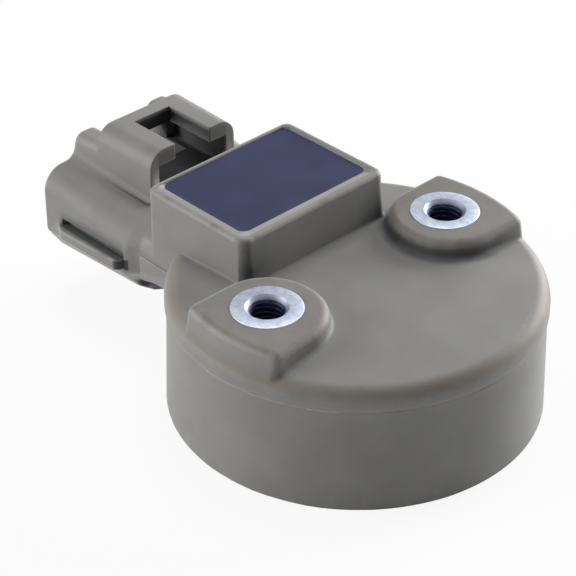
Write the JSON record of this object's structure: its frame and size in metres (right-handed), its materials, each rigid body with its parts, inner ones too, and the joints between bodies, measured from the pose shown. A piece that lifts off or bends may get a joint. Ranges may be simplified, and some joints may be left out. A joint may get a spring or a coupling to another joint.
{
  "type": "camshaft position sensor",
  "caption": "Round cap-shaped position sensor with a potted electronics box, threaded screw bushes and a latching side connector; senses a vane turning inside its cup.",
  "frame": {"origin": "centre of the cup's mouth, in the plane of the mounting rim", "axes": "+Z out of the disc, away from the mounting face; -X towards the connector; Y along the line of the bushes"},
  "size_m": [0.0779, 0.0544, 0.028],
  "materials": {
    "housing_plastic": "fine moulded, warm grey, slightly worn",
    "bush_metal": "plated, bright machined ends",
    "potting": "smooth dark violet-blue cast resin",
    "terminal_metal": "tin plated",
    "board_laminate": "green solder mask",
    "chip_body": "black moulded",
    "capacitor_ceramic": "tan fired body",
    "soft_iron": "cold rolled",
    "magnet_metal": "nickel plated",
    "adhesive": "cured black epoxy"
  },
  "bodies": {
    "root": {"housing": "housing_plastic", "bush_left": "bush_metal", "bush_right": "bush_metal", "terminal_supply": "terminal_metal", "terminal_signal": "terminal_metal", "terminal_ground": "terminal_metal", "potting_compound": "potting", "circuit_board": "board_laminate", "hall_chip": "chip_body", "flux_concentrator": "soft_iron", "capacitor_supply": "capacitor_ceramic", "capacitor_output": "capacitor_ceramic", "pull_up_resistor": "chip_body", "suppressor_diode": "chip_body", "hall_lead_supply": "terminal_metal", "hall_lead_ground": "terminal_metal", "hall_lead_signal": "terminal_metal", "magnet": "magnet_metal", "magnet_backing_plate": "soft_iron", "magnet_adhesive": "adhesive"}
  },
  "joints": []
}
